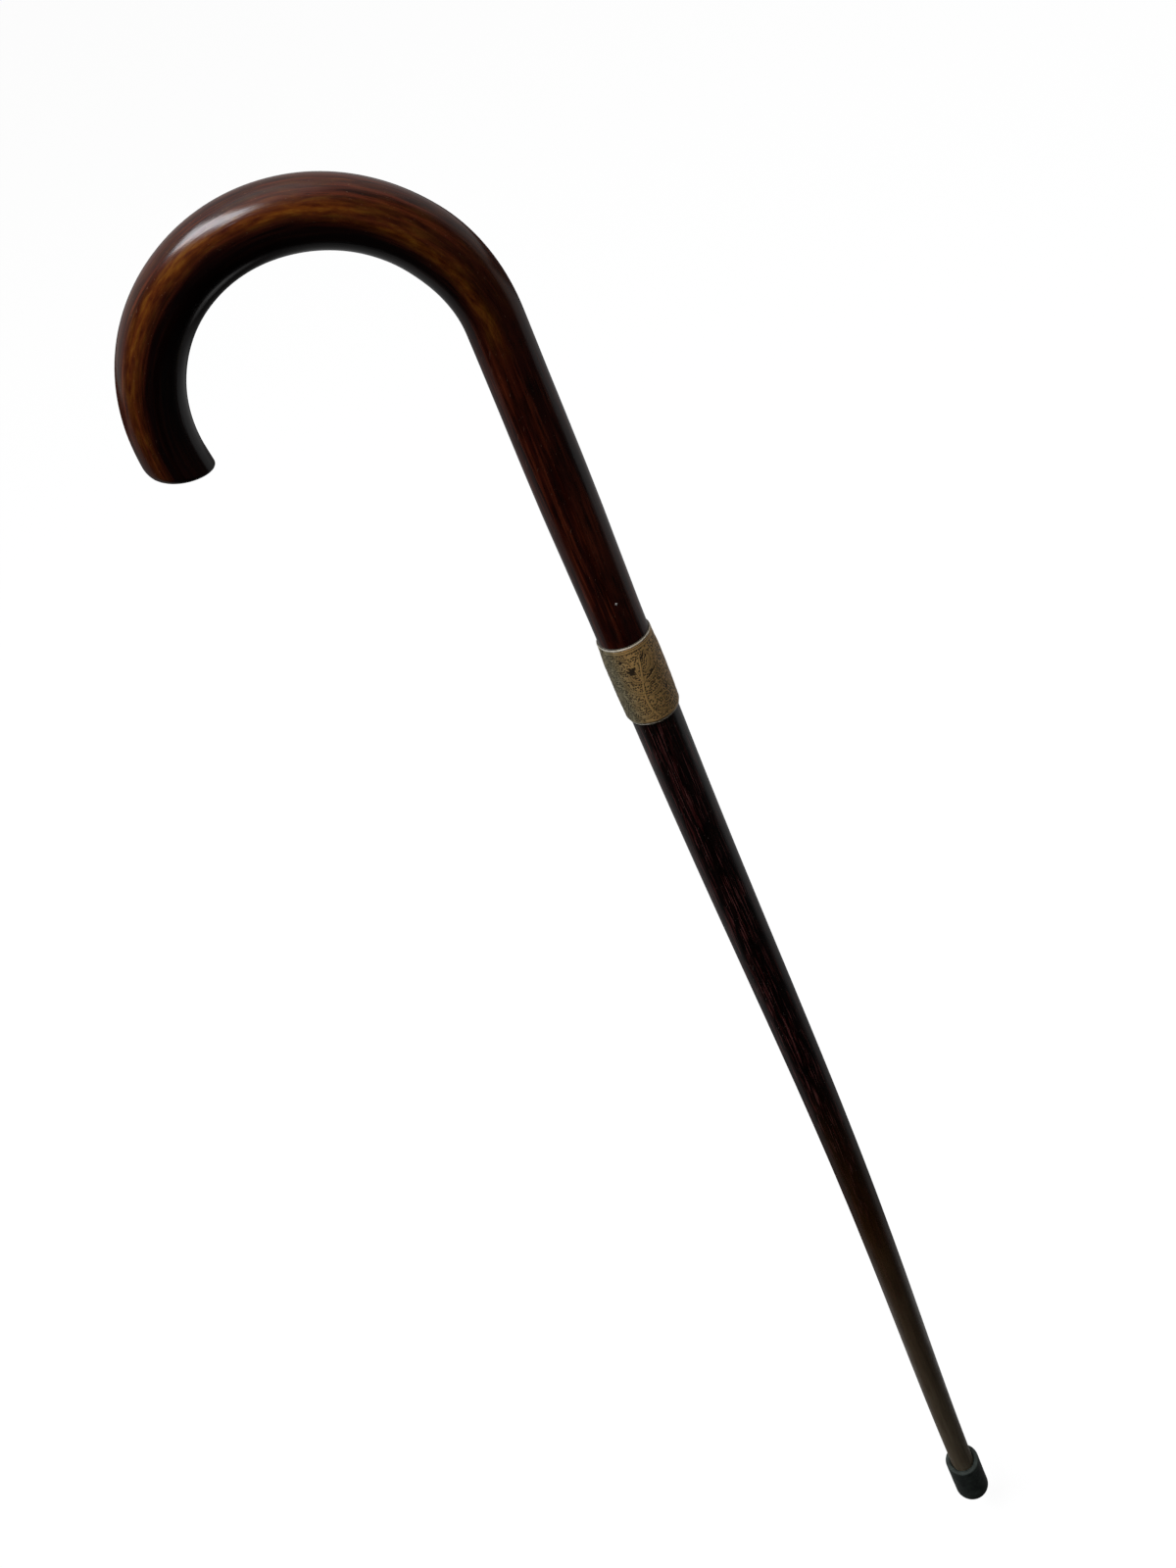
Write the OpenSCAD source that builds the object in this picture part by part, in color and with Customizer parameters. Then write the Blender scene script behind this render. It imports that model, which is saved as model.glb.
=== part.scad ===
// Walking cane: a polished crook handle and a tapered stick of darker wood,
// joined by a steel stud inside an engraved metal collar, on a push-on rubber ferrule.
// Millimetres, +Z up the stick, origin at the centre of the ferrule's sole.
// The crook lies in the XZ plane and bends towards -X.

/* [Handle] */
// Length of the straight leg between the collar and the bend
leg_len = 131; // [60:1:220]
// Centreline radius of the main bend
bend_r = 58; // [40:1:80]
// Angle that the main bend turns through, in degrees
bend_angle = 169; // [90:1:180]
// Centreline radius of the last curl, at the nose
curl_r = 60; // [30:1:80]
// Angle that the curl turns through, in degrees
curl_angle = 14; // [5:1:40]
// Diameter halfway up the leg
leg_d = 21.4; // [18:0.1:26]
// Diameter at the start of the bend
neck_d = 20.6; // [18:0.1:26]
// Diameter on the rise of the bend
rise_d = 22.6; // [18:0.1:28]
// Diameter at the crown of the bend, the thickest place
crown_d = 23.4; // [18:0.1:30]
// Diameter on the fall of the bend
fall_d = 22.8; // [18:0.1:28]
// Diameter of the nose
nose_d = 21.8; // [18:0.1:26]
// Slope of the nose's flat end, which is longer on the inside of the crook, in degrees
nose_slope = 14; // [0:1:20]
// Rounding of the nose's edge on the outside of the crook
nose_round_out = 4.8; // [1:0.1:6]
// Rounding of the nose's edge on the inside of the crook
nose_round_in = 1; // [0.5:0.1:4]

/* [Stick] */
// Length of stick that shows between the ferrule and the collar
stick_len = 616.6; // [400:0.1:800]
// Diameter of the stick's parallel end, inside the ferrule
tip_d = 13; // [11:0.1:16]
// Step from the parallel end up to the stick above the ferrule
tip_shoulder = 0.2; // [0.15:0.05:0.6]
// Height of that step above the ferrule's lip
tip_shoulder_up = 0.3; // [0.2:0.1:1]
// Sideways bow of the stick halfway along, away from the crook
stick_bow = 3.4; // [0:0.1:6]
// Chamfer round the stick's end
tip_chamfer = 0.8; // [0.2:0.1:2]

/* [Collar] */
// Length of the collar, with its rim and its bead
collar_len = 37.4; // [24:0.1:60]
// Wall of the collar band
collar_wall = 0.9; // [0.5:0.05:1.2]
// Layer of cement between the band and the wood
cement_gap = 0.75; // [0.5:0.05:1.5]
// Radius of the band's rolled-in lower edge
roll_r = 1.3; // [1:0.05:1.4]
// Thickness of the round wire at the collar's lower edge
bead_d = 0.8; // [0.5:0.1:1]
// Height of the rim ring at the collar's upper edge
rim_h = 1.1; // [0.7:0.1:2]
// Width of each engraved border line
line_w = 0.35; // [0.2:0.05:0.6]
// Depth of each engraved border line
line_depth = 0.25; // [0.1:0.05:0.35]
// Distance from one border line to the next
line_pitch = 1.1; // [0.9:0.1:2]

/* [Joint] */
// Diameter of the spigots turned on the handle and the stick, inside the collar
joint_d = 19.2; // [16:0.1:22]
// Step from the spigot out to the handle
foot_shoulder = 0.5; // [0.3:0.05:1]
// Step from the spigot out to the stick
stick_shoulder = 0.2; // [0.15:0.05:0.6]
// Diameter of the steel stud
stud_d = 6; // [4:0.5:9]
// Length of the steel stud
stud_len = 85; // [66:1:120]
// Chamfer on each end of the stud
stud_chamfer = 0.6; // [0.2:0.1:1.5]
// Diameter of the locking pin
pin_d = 1.4; // [1:0.1:2.5]
// Distance of the locking pin below the stud's upper end
pin_down = 4.8; // [3:0.1:14]
// Turn of the locking pin round the handle, from straight across the crook
pin_turn = 12; // [0:1:30]
// How far the pin's rounded ends stand out of the wood
pin_proud = 0.1; // [0:0.05:0.3]

/* [Ferrule] */
// Height of the rubber ferrule
ferrule_h = 35; // [25:1:50]
// Rubber round the socket
ferrule_wall = 3.6; // [2.5:0.05:5]
// Rubber under the socket
sole_t = 8; // [5:0.5:12]
// Radius of the edge round the sole
sole_round = 3; // [1:0.1:4]
// Radius of the lip's outer edge
lip_round = 1; // [0.3:0.1:1.5]
// How far the socket's mouth opens out at the lip
mouth_flare = 0.9; // [0.3:0.1:1.2]
// Depth of the flared mouth
mouth_depth = 2.5; // [1:0.1:5]
// Number of ring grooves in the sole
tread_count = 2; // [0:1:2]
// Width of a ring groove and of the land beside it
tread_w = 1.3; // [0.8:0.1:1.3]
// Depth of a ring groove
tread_depth = 0.8; // [0.3:0.1:2]
// Thickness of the steel washer in the socket
washer_t = 1.5; // [0.8:0.1:3]

/* [Fits] */
// Clearance round a piece that is glued or soldered in
glue_gap = 0.05; // [0.02:0.01:0.1]
// Clearance round the stick in the ferrule's socket
socket_gap = 0.04; // [0.02:0.01:0.1]
// Space between the stick's end and the washer
seat_gap = 0.1; // [0.05:0.05:0.3]
// Clearance round the washer in the socket
washer_gap = 0.2; // [0.05:0.05:0.4]

/* [Smoothness] */
// Sides of the bent wooden pieces
wood_sides = 36; // [24:4:48]
// Angle between two rings of the bend, in degrees
ring_step = 5; // [4:0.5:8]

/* [Hidden] */
$fn = 96;

// How far a shape runs into the piece that it joins, or a cut past the face that it opens
overlap = 1;

// Heights, from the ground up
washer_z = sole_t;
tip_z = washer_z + washer_t + seat_gap;
lip_z = ferrule_h;
stick_foot_z = lip_z + tip_shoulder_up;
collar_z = lip_z + stick_len;
band_z = collar_z + bead_d;
collar_top_z = collar_z + collar_len;
band_top_z = collar_top_z - rim_h;
joint_z = collar_z + collar_len / 2;
bend_z = collar_top_z + leg_len;
pin_z = joint_z + stud_len / 2 - pin_down;

// Radii that several pieces share
joint_r = joint_d / 2;
collar_mouth_r = joint_r + glue_gap;
foot_r = joint_r + foot_shoulder;
stick_top_r = joint_r + stick_shoulder;
band_bore_r = joint_r + cement_gap;
collar_r = band_bore_r + collar_wall;
tip_r = tip_d / 2;
stick_foot_r = tip_r + tip_shoulder;
socket_r = tip_r + socket_gap;
ferrule_r = socket_r + ferrule_wall;
stud_hole_r = stud_d / 2 + glue_gap;
pin_hole_r = pin_d / 2 + glue_gap;

// Lengths along the handle's centreline
bend_len = bend_r * bend_angle * PI / 180;
curl_len = curl_r * curl_angle * PI / 180;
nose_len = nose_d / 2 * tan(nose_slope) + 1;
handle_len = leg_len + bend_len + curl_len + nose_len;

// Stations of the handle's thickness: [length from the collar, diameter]
girth = [
    [0, 2 * foot_r],
    [leg_len / 2, leg_d],
    [leg_len, neck_d],
    [leg_len + bend_len * 0.21, rise_d],
    [leg_len + bend_len * 0.47, crown_d],
    [leg_len + bend_len * 0.8, fall_d],
    [handle_len, nose_d]
];

// Easing from 0 to 1 with level ends
function ease(u) = u * u * (3 - 2 * u);

// Radius of the handle at a length s along its centreline
function handle_r(s, i = 0) =
    s >= girth[i + 1][0] && i < len(girth) - 2 ? handle_r(s, i + 1)
    : let (u = min(1, max(0, (s - girth[i][0]) / (girth[i + 1][0] - girth[i][0]))))
      (girth[i][1] + (girth[i + 1][1] - girth[i][1]) * ease(u)) / 2;

// Centre of the main bend and of the curl, as [x, z]
bend_centre = [-bend_r, bend_z];
curl_centre = bend_centre + (bend_r - curl_r) * [cos(bend_angle), sin(bend_angle)];

// A place on the handle's centreline, as [x, z, angle turned so far]
function handle_at(s) =
    s <= leg_len ? [0, collar_top_z + s, 0]
    : s <= leg_len + bend_len
      ? let (a = (s - leg_len) / bend_len * bend_angle)
        [bend_centre[0] + bend_r * cos(a), bend_centre[1] + bend_r * sin(a), a]
      : let (past = max(0, s - handle_len + nose_len),
             a = bend_angle + (s - past - leg_len - bend_len) / curl_len * curl_angle)
        [curl_centre[0] + curl_r * cos(a) - past * sin(a),
         curl_centre[1] + curl_r * sin(a) + past * cos(a), a];

// Lengths at which the handle has a plain ring, closer together in the bend
lean_len = 26;
lean_start = handle_len - lean_len;
leg_rings = 10;
bend_rings = ceil((lean_start - leg_len) / bend_len * bend_angle / ring_step);
lean_rings = 6;
round_rings = 5;
handle_stations = concat(
    [for (i = [0 : leg_rings - 1]) leg_len * i / leg_rings],
    [for (i = [0 : bend_rings - 1]) leg_len + (lean_start - leg_len) * i / bend_rings]
);

// A place on the handle's skin: s along, r from the centreline, t round it from the crook's outside
function handle_point(s, r, t) =
    let (p = handle_at(s))
    [p[0] + r * cos(t) * cos(p[2]), r * sin(t), p[1] + r * cos(t) * sin(p[2])];

// One plain ring of the handle, square to its centreline
function handle_ring(s) =
    [for (k = [0 : wood_sides - 1]) handle_point(s, handle_r(s), 360 * k / wood_sides)];

// Rounding of the nose's edge at an angle t round it
function nose_round(t) =
    (nose_round_out + nose_round_in) / 2 + (nose_round_out - nose_round_in) / 2 * cos(t);

// One ring near the nose: u goes from 0 to 1 as the rings lean over to the nose's slope,
// and f from 0 to 90 degrees round the nose's edge
function lean_ring(u, f) =
    [for (k = [0 : wood_sides - 1])
        let (t = 360 * k / wood_sides, e = nose_round(t),
             r = handle_r(lean_start + lean_len * u) - e * (1 - cos(f)),
             s = lean_start + (lean_len - e) * u + e * sin(f) - ease(u) * tan(nose_slope) * r * cos(t))
        handle_point(s, r, t)];

// All rings of the handle, from the collar to the nose
handle_rings = concat(
    [for (s = handle_stations) handle_ring(s)],
    [for (i = [0 : lean_rings]) lean_ring(i / lean_rings, 0)],
    [for (i = [1 : round_rings]) lean_ring(1, 90 * i / round_rings)]
);

// Sideways place of the stick's centreline at a share of its height, upright at both ends
function bow_x(u) = stick_bow * pow(sin(180 * u), 2);

// One level ring of the stick at a share of its height
function stick_ring(u) =
    let (r = stick_foot_r + (stick_top_r - stick_foot_r) * u,
         z = stick_foot_z + (collar_z - stick_foot_z) * u)
    [for (k = [0 : wood_sides - 1]) let (t = 360 * k / wood_sides)
        [bow_x(u) + r * cos(t), r * sin(t), z]];

// Solid skin over a row of rings that run upwards or along a bend
module loft(rings) {
    n = len(rings[0]);
    last = len(rings) - 1;
    points = [for (ring = rings) for (p = ring) p];
    sides = [for (i = [0 : last - 1]) for (k = [0 : n - 1])
        let (a = i * n + k, b = i * n + (k + 1) % n)
        for (f = [[a, a + n, b + n], [a, b + n, b]]) f];
    start_cap = [[for (k = [0 : n - 1]) k]];
    end_cap = [[for (k = [n - 1 : -1 : 0]) last * n + k]];
    polyhedron(points = points, faces = concat(start_cap, sides, end_cap), convexity = 6);
}

// Blind hole for one half of the stud, opening at the joint face
module stud_hole() {
    translate([0, 0, joint_z - stud_len / 2 - glue_gap])
        cylinder(r = stud_hole_r, h = stud_len + 2 * glue_gap);
}

// Places a child that stands along +Z on the locking pin's axis
module across_joint() {
    translate([0, 0, pin_z]) rotate([90, 0, pin_turn]) children();
}

// Cross hole for the locking pin, through everything on the joint's axis
module pin_hole() {
    across_joint() cylinder(r = pin_hole_r, h = 2 * (leg_d + overlap), center = true);
}

// Bent and polished handle, with a spigot that fills the upper half of the collar
module crook_handle() {
    color([0.29, 0.10, 0.05])
    difference() {
        union() {
            loft(handle_rings);
            translate([0, 0, joint_z])
                cylinder(r = joint_r, h = collar_top_z - joint_z + overlap);
        }
        stud_hole();
        pin_hole();
    }
}

// Tapered, slightly bowed stick: parallel in the ferrule and in the collar
module stick() {
    rings = 28;
    color([0.12, 0.08, 0.07])
    difference() {
        union() {
            translate([0, 0, tip_z])
                cylinder(r1 = tip_r - tip_chamfer, r2 = tip_r, h = tip_chamfer);
            translate([0, 0, tip_z + tip_chamfer])
                cylinder(r = tip_r, h = stick_foot_z - tip_z - tip_chamfer + overlap);
            loft([for (i = [0 : rings]) stick_ring(i / rings)]);
            translate([0, 0, collar_z - overlap])
                cylinder(r = joint_r, h = joint_z - collar_z + overlap);
        }
        stud_hole();
    }
}

// Engraved band: a tube with its lower edge rolled in to the stick
module collar_band() {
    arc_steps = 8;
    inner_roll = max(0.2, roll_r - collar_wall);
    color([0.62, 0.57, 0.46])
    difference() {
        rotate_extrude()
            polygon(concat(
                [[collar_mouth_r, band_z]],
                [for (i = [0 : arc_steps]) let (a = -90 + 90 * i / arc_steps)
                    [collar_r - roll_r + roll_r * cos(a), band_z + roll_r + roll_r * sin(a)]],
                [[collar_r, band_top_z], [band_bore_r, band_top_z]],
                [for (i = [0 : arc_steps]) let (a = -90 * i / arc_steps)
                    [band_bore_r - inner_roll + inner_roll * cos(a),
                     band_z + collar_wall + inner_roll + inner_roll * sin(a)]],
                [[collar_mouth_r, band_z + collar_wall]]
            ));
        border_lines(band_top_z - line_pitch / 2);
        border_lines(band_z + roll_r + line_pitch);
    }
}

// Two engraved lines round the band, the upper one at height z
module border_lines(z) {
    for (i = [0, 1])
        translate([0, 0, z - i * line_pitch - line_w / 2])
            difference() {
                cylinder(r = collar_r + overlap, h = line_w);
                translate([0, 0, -overlap])
                    cylinder(r = collar_r - line_depth, h = line_w + 2 * overlap);
            }
}

// Rim ring soldered on the band's upper edge, round on its outside
module collar_rim() {
    edge_r = rim_h / 2;
    color([0.74, 0.71, 0.64])
    rotate_extrude()
        intersection() {
            translate([collar_mouth_r, band_top_z]) square([collar_r - collar_mouth_r, rim_h]);
            union() {
                translate([collar_mouth_r, band_top_z])
                    square([collar_r - collar_mouth_r - edge_r, rim_h]);
                translate([collar_r - edge_r, band_top_z + edge_r]) circle(r = edge_r, $fn = 32);
            }
        }
}

// Round wire soldered under the band's rolled edge
module collar_bead() {
    color([0.76, 0.73, 0.66])
    rotate_extrude()
        translate([collar_mouth_r + bead_d / 2, collar_z + bead_d / 2])
            circle(d = bead_d, $fn = 32);
}

// Steel stud that joins the handle to the stick
module joint_stud() {
    r = stud_d / 2;
    z = joint_z - stud_len / 2;
    color([0.55, 0.56, 0.58])
    difference() {
        rotate_extrude()
            polygon([[0, z], [r - stud_chamfer, z], [r, z + stud_chamfer],
                     [r, z + stud_len - stud_chamfer], [r - stud_chamfer, z + stud_len],
                     [0, z + stud_len]]);
        pin_hole();
    }
}

// Steel pin across the handle's foot and the stud, its two ends dressed off round
module locking_pin() {
    reach = handle_r(pin_z - collar_top_z) + pin_proud;
    dome = pin_d / 4;
    color([0.80, 0.80, 0.80])
    across_joint()
    rotate_extrude($fn = 48)
        polygon([[0, -reach], [pin_d / 2 - dome, -reach], [pin_d / 2, -reach + dome],
                 [pin_d / 2, reach - dome], [pin_d / 2 - dome, reach], [0, reach]]);
}

// Rubber cup with a flared mouth, a rounded sole and ring grooves
module rubber_ferrule() {
    r = ferrule_r;
    arc_steps = 10;
    groove_start = 2 * tread_w;
    color([0.13, 0.14, 0.13])
    difference() {
        rotate_extrude()
            polygon(concat(
                [[0, 0]],
                [for (i = [0 : arc_steps]) let (a = -90 + 90 * i / arc_steps)
                    [r - sole_round + sole_round * cos(a), sole_round + sole_round * sin(a)]],
                [for (i = [0 : arc_steps]) let (a = 90 * i / arc_steps)
                    [r - lip_round + lip_round * cos(a), lip_z - lip_round + lip_round * sin(a)]],
                [[socket_r + mouth_flare, lip_z], [socket_r, lip_z - mouth_depth],
                 [socket_r, sole_t], [0, sole_t]]
            ));
        for (i = [0 : 1 : tread_count - 1])
            translate([0, 0, -overlap])
                difference() {
                    cylinder(r = groove_start + (2 * i + 1) * tread_w, h = tread_depth + overlap);
                    translate([0, 0, -overlap])
                        cylinder(r = groove_start + 2 * i * tread_w, h = tread_depth + 3 * overlap);
                }
    }
}

// Steel washer in the bottom of the socket, which the stick's end bears on
module ferrule_washer() {
    color([0.55, 0.56, 0.58])
    translate([0, 0, washer_z])
        cylinder(r = socket_r - washer_gap, h = washer_t);
}

crook_handle();
stick();
collar_band();
collar_rim();
collar_bead();
joint_stud();
locking_pin();
rubber_ferrule();
ferrule_washer();
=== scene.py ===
"""Walking cane: crook handle, engraved collar, tapered stick and rubber ferrule.

Sizes are millimetres, as in part.scad, and become metres where a mesh is made. The studio
is in metres.
"""

import logging
import math
from collections.abc import Sequence
from dataclasses import dataclass
from enum import Enum

import bmesh
import bpy
import numpy as np
from mathutils import Matrix, Vector, noise


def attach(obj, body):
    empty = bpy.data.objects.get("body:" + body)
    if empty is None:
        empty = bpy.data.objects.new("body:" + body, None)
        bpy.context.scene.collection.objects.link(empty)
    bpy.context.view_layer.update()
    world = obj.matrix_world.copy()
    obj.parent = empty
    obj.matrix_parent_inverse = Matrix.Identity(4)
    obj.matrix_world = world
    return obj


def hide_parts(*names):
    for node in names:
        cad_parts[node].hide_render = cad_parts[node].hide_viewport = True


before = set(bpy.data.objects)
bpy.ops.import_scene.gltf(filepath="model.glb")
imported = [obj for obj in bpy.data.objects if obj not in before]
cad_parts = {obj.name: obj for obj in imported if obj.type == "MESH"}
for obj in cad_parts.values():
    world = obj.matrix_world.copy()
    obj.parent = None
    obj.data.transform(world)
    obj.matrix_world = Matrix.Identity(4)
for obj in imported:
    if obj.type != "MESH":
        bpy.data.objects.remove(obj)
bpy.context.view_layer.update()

MM = 0.001
# Width of a worn flat, and the length over which the wear sets in.
FLAT_WIDTH = 6.0
FLAT_FADE = 3.0
Point = tuple[float, float]
Step = tuple[str, float, float, float, float]
Socket = bpy.types.NodeSocket
Tree = bpy.types.NodeTree
Shape = bmesh.types.BMesh
log = logging.getLogger("cane")


class Body(Enum):
    """The two bodies of the cane's behaviour."""

    CANE = "cane"
    FERRULE = "ferrule"


def ease(u: float) -> float:
    """Eases u, held between 0 and 1, with level ends."""
    u = min(1.0, max(0.0, u))
    return u * u * (3 - 2 * u)


def linear(hex_colour: str) -> tuple[float, float, float, float]:
    """Turns an sRGB hex colour into the linear colour that a shader socket takes.

    Args:
        hex_colour: six hex digits after a hash sign.

    Returns:
        Red, green, blue and an alpha of 1.
    """
    parts = [int(hex_colour[i : i + 2], 16) / 255 for i in (1, 3, 5)]
    rgb = [c / 12.92 if c <= 0.04045 else ((c + 0.055) / 1.055) ** 2.4 for c in parts]
    return (rgb[0], rgb[1], rgb[2], 1.0)


def add(tree: Tree, kind: str, settings: dict | None = None, links: dict | None = None,
        out: str = "", stops: Sequence[tuple[float, str]] = ()) -> Socket | None:
    """Adds one node with its settings and links.

    Args:
        tree: the node tree of a material or of the world.
        kind: the node's type, without the leading ShaderNode.
        settings: values by input name or number, or by the name of a node property.
        links: output sockets by the name or number of the input that they go to.
        out: the output that is wanted, or nothing for the first one in use.
        stops: places and hex colours of a colour ramp.

    Returns:
        The wanted output socket, or None for a node without outputs.
    """
    node = tree.nodes.new("ShaderNode" + kind)
    for name, value in (settings or {}).items():
        if isinstance(name, str) and hasattr(node, name):
            setattr(node, name, value)
        else:
            node.inputs[name].default_value = value
    for i, (place, colour) in enumerate(stops):
        elements = node.color_ramp.elements
        element = elements[i] if i < len(elements) else elements.new(place)
        element.position, element.color = place, linear(colour)
    for name, socket in (links or {}).items():
        tree.links.new(socket, node.inputs[name])
    shown = [socket for socket in node.outputs if socket.enabled and out in ("", socket.name)]
    return shown[0] if shown else None


def blank_material(name: str) -> tuple[bpy.types.Material, Tree]:
    """Makes a material whose tree is empty, and returns both."""
    material = bpy.data.materials.new(name)
    material.use_nodes = True
    material.node_tree.nodes.clear()
    return material, material.node_tree


def arc(centre: Point, radius: float, start: float, end: float, steps: int) -> list[Point]:
    """Points of an arc with both its ends, for a half outline.

    Args:
        centre: the arc's centre, in mm.
        radius: its radius in mm.
        start: direction of its first point from the centre, in degrees.
        end: direction of its last point.
        steps: straight pieces that it is made of.

    Returns:
        Radius and height of each point.
    """
    angles = [math.radians(start + (end - start) * i / steps) for i in range(steps + 1)]
    return [(centre[0] + radius * math.cos(a), centre[1] + radius * math.sin(a)) for a in angles]


def turned(outline: Sequence[Point], steps: int, closed: bool = False) -> Shape:
    """Turns a half outline round the Z axis, as on a lathe.

    Args:
        outline: radius and height of each point, in mm.
        steps: faces round the axis.
        closed: whether the outline's last point joins its first, as for a ring.

    Returns:
        A closed mesh in metres with its normals outwards.
    """
    bm = bmesh.new()
    verts = [bm.verts.new((r * MM, 0, z * MM)) for r, z in outline]
    ends = verts[1:] + verts[:1] if closed else verts[1:]
    edges = [bm.edges.new(pair) for pair in zip(verts, ends)]
    bmesh.ops.spin(
        bm, geom=verts + edges, cent=(0, 0, 0), axis=(0, 0, 1), dvec=(0, 0, 0),
        angle=math.tau, steps=steps, use_merge=True, use_duplicate=False,
    )
    bmesh.ops.remove_doubles(bm, verts=bm.verts, dist=MM * 1e-3)
    bmesh.ops.recalc_face_normals(bm, faces=bm.faces)
    return bm


def finished(name: str, bm: Shape, material: bpy.types.Material,
             crease: float = 40.0) -> bpy.types.Object:
    """Turns a bmesh into a smooth-shaded object at the origin.

    Args:
        name: the piece's name.
        bm: its shape, which is freed.
        material: its finish.
        crease: edges sharper than this many degrees stay sharp.

    Returns:
        The linked object.
    """
    mesh = bpy.data.meshes.new(name)
    bm.to_mesh(mesh)
    bm.free()
    mesh.materials.append(material)
    mesh.shade_smooth()
    mesh.set_sharp_from_angle(angle=math.radians(crease))
    piece = bpy.data.objects.new(name, mesh)
    bpy.context.scene.collection.objects.link(piece)
    return piece


def stand_for(piece: bpy.types.Object, body: Body, slot: str, *nodes: str) -> bpy.types.Object:
    """Rides a new piece on its body, in the place of its CAD nodes, and reports it.

    Args:
        piece: the new piece.
        body: the body that it moves with.
        slot: the record's material slot of its finish; not used.
        nodes: the CAD nodes that it replaces.

    Returns:
        The same piece.
    """
    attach(piece, body.value)
    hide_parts(*nodes)
    log.info("%s: %d faces, for %s", piece.name, len(piece.data.polygons), ", ".join(nodes))
    return piece


def dress_node(name: str, material: bpy.types.Material) -> None:
    """Gives a CAD node that stays in the scene its finish."""
    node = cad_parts[name]
    for slot in node.material_slots:
        slot.material = material
    log.info("%s: CAD node in %s", name, material.name)


def spread(low: float, high: float, step: float) -> list[float]:
    """Evenly spaced values from low to high, with both, about one step apart."""
    count = max(1, round((high - low) / step))
    return [low + (high - low) * i / count for i in range(count + 1)]


@dataclass(frozen=True)
class Marks:
    """One kind of mark in the wood, laid over what is under it.

    Width and length are a mark's real size in mm, across and along the grain. The marks
    start where their noise passes low and are full at high, where they cover share of
    what is under them.
    """

    width: float
    length: float
    low: float
    high: float
    share: float
    colour: str
    offset: Point = (0.0, 0.0)
    lean: float = 0.0
    detail: float = 2.0


@dataclass(frozen=True)
class WoodFinish:
    """A hardwood whose grain follows the length of a turned piece.

    The pieces carry an attribute with the place of each point before bending, in mm, so
    that the figure, the streaks and the pores run along the wood round every bend.
    """

    name: str
    figure: tuple[tuple[float, str], ...]
    figure_size: Point
    marks: tuple[Marks, ...]
    roughness: Point
    specular: float
    coat: float
    coat_roughness: float
    wave_depth: float
    grain_depth: float
    pore_depth: float = 0.02

    def grain(self, tree: Tree, width: float, length: float, detail: float = 2.0,
              offset: Point = (0.0, 0.0), lean: float = 0.0) -> Socket:
        """Noise whose blots are as wide and as long as the wood's own marks.

        Args:
            tree: the material's node tree.
            width: width of a mark across the grain, in mm.
            length: length of a mark along the grain, in mm.
            detail: octaves of noise.
            offset: shift across and along the grain, in mm.
            lean: degrees that the marks lean from the grain.

        Returns:
            The noise's factor socket.
        """
        turn = math.radians(lean)
        place = add(tree, "Attribute", {"attribute_name": "turned"}, out="Vector")
        scaled = add(
            tree, "Mapping",
            {"vector_type": "TEXTURE", "Location": (offset[0], 0, offset[1]),
             "Rotation": (turn, turn, 0), "Scale": (width, width, length)},
            {"Vector": place},
        )
        settings = {"Scale": 1.0, "Detail": detail, "Roughness": 0.55}
        return add(tree, "TexNoise", settings, {"Vector": scaled}, "Fac")

    def aged(self, tree: Tree, colour: Socket, roughness: Socket) -> tuple[Socket, Socket]:
        """Wear that belongs to one piece alone; none on plain wood."""
        return colour, roughness

    def material(self) -> bpy.types.Material:
        """Makes the wood's material."""
        material, tree = blank_material(self.name)
        figure = self.grain(tree, *self.figure_size, 3.0)
        colour = add(tree, "ValToRGB", links={"Fac": figure}, stops=self.figure)
        for mark in self.marks:
            noise_factor = self.grain(tree, mark.width, mark.length, mark.detail, mark.offset, mark.lean)
            cover = add(
                tree, "MapRange", {"From Min": mark.low, "From Max": mark.high, "To Max": mark.share},
                {"Value": noise_factor},
            )
            colour = add(tree, "Mix", {"data_type": "RGBA", 7: linear(mark.colour)}, {0: cover, 6: colour})
        pores = add(
            tree, "MapRange", {"From Min": 0.62, "From Max": 0.72, "To Max": 0.7},
            {"Value": self.grain(tree, 0.4, 5.0, 1.0, (3.0, 7.0))},
        )
        colour = add(tree, "Mix", {"data_type": "RGBA", 7: linear("#030000")}, {0: pores, 6: colour})
        roughness = add(
            tree, "MapRange",
            {"From Min": 0.3, "From Max": 0.7, "To Min": self.roughness[0], "To Max": self.roughness[1]},
            {"Value": self.grain(tree, 4.0, 12.0, 3.0, (11.0, 2.0))},
        )
        colour, roughness = self.aged(tree, colour, roughness)
        normal = {}
        for depth, height, invert in (
            (self.wave_depth, self.grain(tree, 3.5, 16.0, 2.0, (5.0, 9.0)), False),
            (self.grain_depth, self.grain(tree, 0.7, 9.0, 2.0, (15.0, 4.0)), False),
            (self.pore_depth, pores, True),
        ):
            settings = {"Strength": 1.0, "Distance": depth * MM, "invert": invert}
            normal = {"Normal": add(tree, "Bump", settings, {"Height": height} | normal)}
        shader = add(
            tree, "BsdfPrincipled",
            {"IOR": 1.5, "Specular IOR Level": self.specular, "Coat Weight": self.coat,
             "Coat Roughness": self.coat_roughness, "Coat IOR": 1.5},
            {"Base Color": colour, "Roughness": roughness, "Coat Normal": normal["Normal"]} | normal,
        )
        add(tree, "OutputMaterial", links={"Surface": shader})
        return material


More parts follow.
